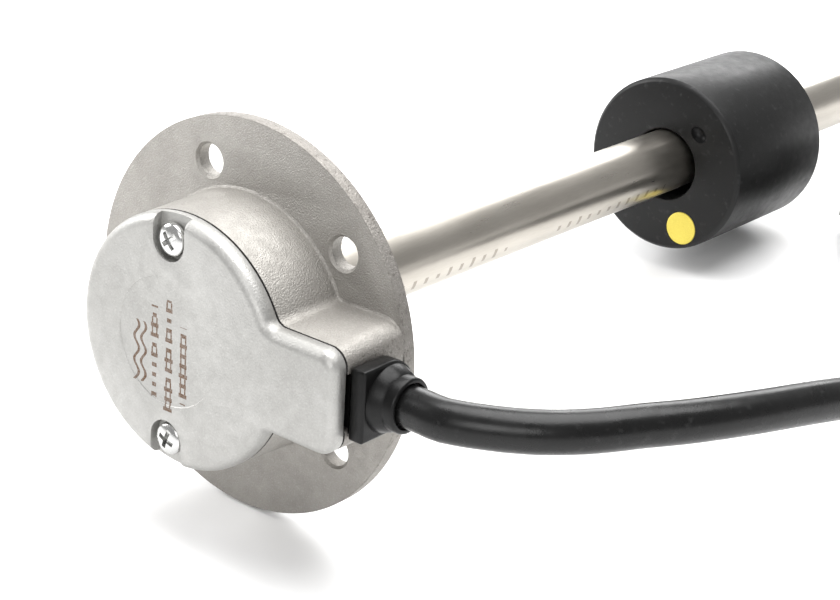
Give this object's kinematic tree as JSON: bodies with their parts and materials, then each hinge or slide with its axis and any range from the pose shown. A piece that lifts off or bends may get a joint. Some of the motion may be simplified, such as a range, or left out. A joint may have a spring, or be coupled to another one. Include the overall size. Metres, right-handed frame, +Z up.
{
  "type": "tank level sender",
  "caption": "Flanged tank level sender: a float with a ring magnet slides on a closed stem, with a cable leaving the flange housing by a side spout to a round plug.",
  "frame": {"origin": "on the bench, under the middle of the sender's own box (without its lead)", "axes": "+Y runs along the bench from the flange to the stem's end, +X the way the cable spout points, +Z up"},
  "size_m": [0.1508, 0.3206, 0.069],
  "materials": {
    "cast_steel": "bead-blasted stainless casting",
    "brushed_steel": "satin stainless casting",
    "stem_steel": "polished stainless tube",
    "screw_steel": "bright stainless screw",
    "black_rubber": "moulded rubber",
    "cable_black": "satin cable sheath",
    "float_black": "satin black float",
    "marker_yellow": "painted dot",
    "magnet_grey": "sintered ferrite",
    "board_green": "solder mask",
    "chip_black": "moulded plastic",
    "reed_glass": "sealed glass",
    "conductor_red": "insulated core",
    "nickel_plate": "nickel-plated",
    "gold_plate": "gold-plated"
  },
  "bodies": {
    "sender": {"flange_housing": "cast_steel", "cover": "brushed_steel", "cover_gasket": "black_rubber", "cover_screw_upper": "screw_steel", "cover_screw_lower": "screw_steel", "cable_grommet": "black_rubber", "stem_tube": "stem_steel", "stem_end_plug": "stem_steel", "float_stop_washer": "stem_steel", "float_stop_clip": "screw_steel", "main_board": "board_green", "controller_chip": "chip_black", "supply_chip": "chip_black", "lead_terminal": "chip_black", "reed_strip": "board_green", "cable_lead": "cable_black", "cable_coil": "cable_black", "cable_tail": "cable_black", "coil_tie": "black_rubber", "plug_moulding": "black_rubber", "plug_insert": "chip_black", "reed_switch_01": "reed_glass", "reed_switch_02": "reed_glass", "reed_switch_03": "reed_glass", "reed_switch_04": "reed_glass", "reed_switch_05": "reed_glass", "reed_switch_06": "reed_glass", "reed_switch_07": "reed_glass", "reed_switch_08": "reed_glass", "reed_switch_09": "reed_glass", "reed_switch_10": "reed_glass", "reed_switch_11": "reed_glass", "reed_switch_12": "reed_glass", "reed_switch_13": "reed_glass", "inner_conductor_1": "conductor_red", "inner_conductor_2": "conductor_red", "inner_conductor_3": "conductor_red", "inner_conductor_4": "conductor_red", "inner_conductor_5": "conductor_red", "plug_pin_1": "gold_plate", "plug_pin_2": "gold_plate", "plug_pin_3": "gold_plate", "plug_pin_4": "gold_plate", "plug_pin_5": "gold_plate"},
    "float_carriage": {"float_magnet": "magnet_grey"},
    "float": {"float_body": "float_black", "float_marker_dot": "marker_yellow"},
    "sleeve": {"plug_sleeve": "nickel_plate"}
  },
  "joints": [
    {"name": "float_slide", "type": "slide", "parent": "sender", "child": "float_carriage", "axis": [0, 0.9963, -0.0864], "range_m": [-0.1214, 0.1339]},
    {"name": "float_spin", "type": "hinge", "parent": "float_carriage", "child": "float", "pos_m": [0, -0.01529, 0.02273], "axis": [0, 0.9963, -0.0864], "continuous": true},
    {"name": "sleeve_spin", "type": "hinge", "parent": "sender", "child": "sleeve", "pos_m": [0.1091, 0.1285, 0.0075], "axis": [0, 1, 0], "continuous": true}
  ]
}
